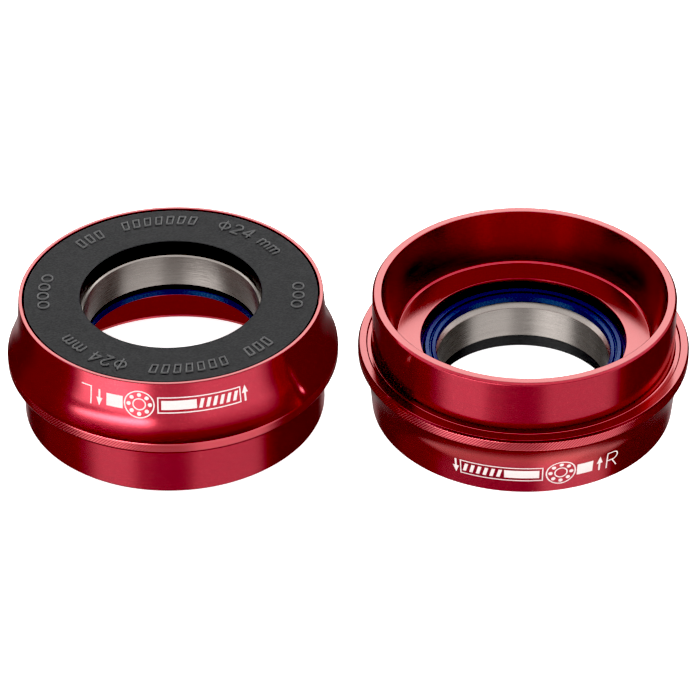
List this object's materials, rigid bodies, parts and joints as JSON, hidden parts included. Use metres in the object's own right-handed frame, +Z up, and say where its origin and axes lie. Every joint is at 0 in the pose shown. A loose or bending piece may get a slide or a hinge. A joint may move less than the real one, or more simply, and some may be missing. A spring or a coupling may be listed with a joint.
{
  "type": "press-fit bottom bracket",
  "caption": "Press-fit bicycle bottom bracket: two anodised cups, each with a sealed ball bearing, a cover and an inner seal ring.",
  "frame": {"origin": "on the ground, midway between the axes of the two cups", "axes": "+X from the left cup to the right cup, +Y away from the viewer, +Z up; both bearing axes are along Z"},
  "size_m": [0.0948, 0.0466, 0.0184],
  "materials": {
    "red_anodised": "bright red anodised, fine turned",
    "black_nylon": "moulded black nylon, fine grain",
    "bearing_steel": "ground bearing steel",
    "black_rubber": "moulded nitrile rubber",
    "blue_rubber": "moulded blue seal rubber, satin",
    "cage_nylon": "natural moulded nylon",
    "etched_aluminium": "laser-etched marks, matt white"
  },
  "bodies": {
    "cups": {"left_cup": "red_anodised", "left_outer_race": "bearing_steel", "left_bearing_seal_inboard": "black_rubber", "left_bearing_seal_outboard": "black_rubber", "left_inner_seal_ring": "blue_rubber", "right_cup": "red_anodised", "right_outer_race": "bearing_steel", "right_bearing_seal_inboard": "black_rubber", "right_bearing_seal_outboard": "black_rubber", "right_inner_seal_ring": "blue_rubber"},
    "left_rotor": {"left_inner_race": "bearing_steel", "left_outer_cover": "black_nylon"},
    "left_ball_set": {"left_ball_cage": "cage_nylon", "left_ball_01": "bearing_steel", "left_ball_02": "bearing_steel", "left_ball_03": "bearing_steel", "left_ball_04": "bearing_steel", "left_ball_05": "bearing_steel", "left_ball_06": "bearing_steel", "left_ball_07": "bearing_steel", "left_ball_08": "bearing_steel", "left_ball_09": "bearing_steel", "left_ball_10": "bearing_steel", "left_ball_11": "bearing_steel", "left_ball_12": "bearing_steel", "left_ball_13": "bearing_steel", "left_ball_14": "bearing_steel", "left_ball_15": "bearing_steel", "left_ball_16": "bearing_steel"},
    "right_rotor": {"right_inner_race": "bearing_steel", "right_outer_cover": "black_nylon"},
    "right_ball_set": {"right_ball_cage": "cage_nylon", "right_ball_01": "bearing_steel", "right_ball_02": "bearing_steel", "right_ball_03": "bearing_steel", "right_ball_04": "bearing_steel", "right_ball_05": "bearing_steel", "right_ball_06": "bearing_steel", "right_ball_07": "bearing_steel", "right_ball_08": "bearing_steel", "right_ball_09": "bearing_steel", "right_ball_10": "bearing_steel", "right_ball_11": "bearing_steel", "right_ball_12": "bearing_steel", "right_ball_13": "bearing_steel", "right_ball_14": "bearing_steel", "right_ball_15": "bearing_steel", "right_ball_16": "bearing_steel"}
  },
  "joints": [
    {"name": "left_axle_spin", "type": "hinge", "parent": "cups", "child": "left_rotor", "pos_m": [-0.02435, 0.0003, 0.0134], "axis": [0, 0, 1], "continuous": true},
    {"name": "left_cage_spin", "type": "hinge", "parent": "cups", "child": "left_ball_set", "pos_m": [-0.02435, 0.0003, 0.0134], "axis": [0, 0, 1], "continuous": true},
    {"name": "right_axle_spin", "type": "hinge", "parent": "cups", "child": "right_rotor", "pos_m": [0.02435, -0.0003, 0.005], "axis": [0, 0, 1], "continuous": true},
    {"name": "right_cage_spin", "type": "hinge", "parent": "cups", "child": "right_ball_set", "pos_m": [0.02435, -0.0003, 0.005], "axis": [0, 0, 1], "continuous": true}
  ],
  "couplings": [
    {"joint": "left_cage_spin", "follows": "left_axle_spin", "ratio": 0.44795},
    {"joint": "right_cage_spin", "follows": "right_axle_spin", "ratio": 0.44795}
  ]
}
